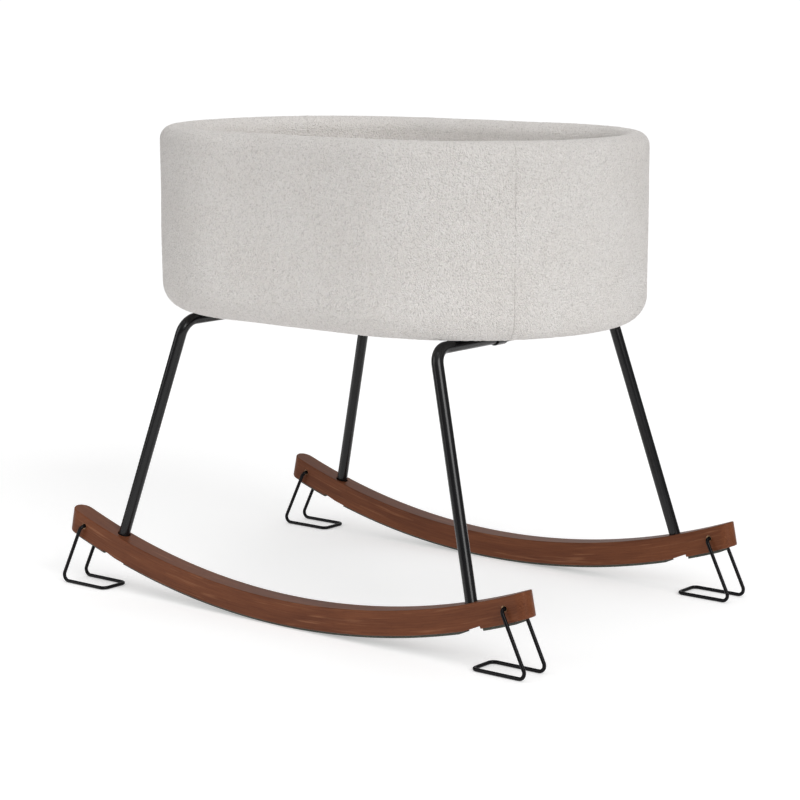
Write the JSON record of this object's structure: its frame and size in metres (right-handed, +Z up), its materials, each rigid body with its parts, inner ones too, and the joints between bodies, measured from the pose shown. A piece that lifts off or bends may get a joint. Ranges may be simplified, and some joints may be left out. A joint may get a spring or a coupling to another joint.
{
  "type": "bassinet on rocking stand",
  "caption": "Oval upholstered bassinet tub on bent-tube legs, with curved wooden rockers and fold-down wire stops.",
  "frame": {"origin": "on the floor, under the middle of the tub", "axes": "+X along the rockers, towards the right-hand end as seen from the front; +Y to the rear; +Z up"},
  "size_m": [0.9022, 0.5916, 0.724],
  "materials": {
    "boucle": "looped boucle",
    "liner_cloth": "looped boucle over thin padding",
    "mattress_cloth": "quilted cotton over foam",
    "foam": "open-cell foam",
    "dust_cloth": "non-woven cloth",
    "plywood": "birch plywood, unfinished",
    "stained_wood": "walnut-stained, satin lacquer",
    "black_steel": "satin black powder coat",
    "zinc_steel": "zinc plated",
    "felt": "pressed felt"
  },
  "bodies": {
    "stand_and_tub": {"outer_cover": "boucle", "side_padding": "foam", "rim_foam": "foam", "shell_wall": "plywood", "base_board": "plywood", "inner_liner": "liner_cloth", "dust_cover": "dust_cloth", "leg_frame_left": "black_steel", "saddle_left_front": "black_steel", "saddle_screw_left_front_inner": "zinc_steel", "saddle_screw_left_front_outer": "zinc_steel", "saddle_left_rear": "black_steel", "saddle_screw_left_rear_inner": "zinc_steel", "saddle_screw_left_rear_outer": "zinc_steel", "leg_frame_right": "black_steel", "saddle_right_front": "black_steel", "saddle_screw_right_front_inner": "zinc_steel", "saddle_screw_right_front_outer": "zinc_steel", "saddle_right_rear": "black_steel", "saddle_screw_right_rear_inner": "zinc_steel", "saddle_screw_right_rear_outer": "zinc_steel", "rocker_front": "stained_wood", "strip_front_middle": "felt", "strip_front_left": "felt", "strip_front_right": "felt", "leg_washer_front_left": "zinc_steel", "leg_bolt_front_left": "zinc_steel", "tube_insert_front_left": "zinc_steel", "leg_washer_front_right": "zinc_steel", "leg_bolt_front_right": "zinc_steel", "tube_insert_front_right": "zinc_steel", "rocker_rear": "stained_wood", "strip_rear_middle": "felt", "strip_rear_left": "felt", "strip_rear_right": "felt", "leg_washer_rear_left": "zinc_steel", "leg_bolt_rear_left": "zinc_steel", "tube_insert_rear_left": "zinc_steel", "leg_washer_rear_right": "zinc_steel", "leg_bolt_rear_right": "zinc_steel", "tube_insert_rear_right": "zinc_steel"},
    "mattress": {"mattress": "mattress_cloth"},
    "stop_front_left": {"wire_stop_front_left": "black_steel"},
    "stop_front_right": {"wire_stop_front_right": "black_steel"},
    "stop_rear_left": {"wire_stop_rear_left": "black_steel"},
    "stop_rear_right": {"wire_stop_rear_right": "black_steel"}
  },
  "joints": [
    {"name": "mattress_lift", "type": "slide", "parent": "stand_and_tub", "child": "mattress", "axis": [0, 0, 1], "range_m": [0, 0.275]},
    {"name": "stop_hinge_front_left", "type": "hinge", "parent": "stand_and_tub", "child": "stop_front_left", "pos_m": [-0.409, -0.269, 0.095], "axis": [0, 1, 0], "range_deg": [0, 250]},
    {"name": "stop_hinge_front_right", "type": "hinge", "parent": "stand_and_tub", "child": "stop_front_right", "pos_m": [0.409, -0.269, 0.095], "axis": [0, -1, 0], "range_deg": [0, 250]},
    {"name": "stop_hinge_rear_left", "type": "hinge", "parent": "stand_and_tub", "child": "stop_rear_left", "pos_m": [-0.409, 0.269, 0.095], "axis": [0, 1, 0], "range_deg": [0, 250]},
    {"name": "stop_hinge_rear_right", "type": "hinge", "parent": "stand_and_tub", "child": "stop_rear_right", "pos_m": [0.409, 0.269, 0.095], "axis": [0, -1, 0], "range_deg": [0, 250]}
  ]
}
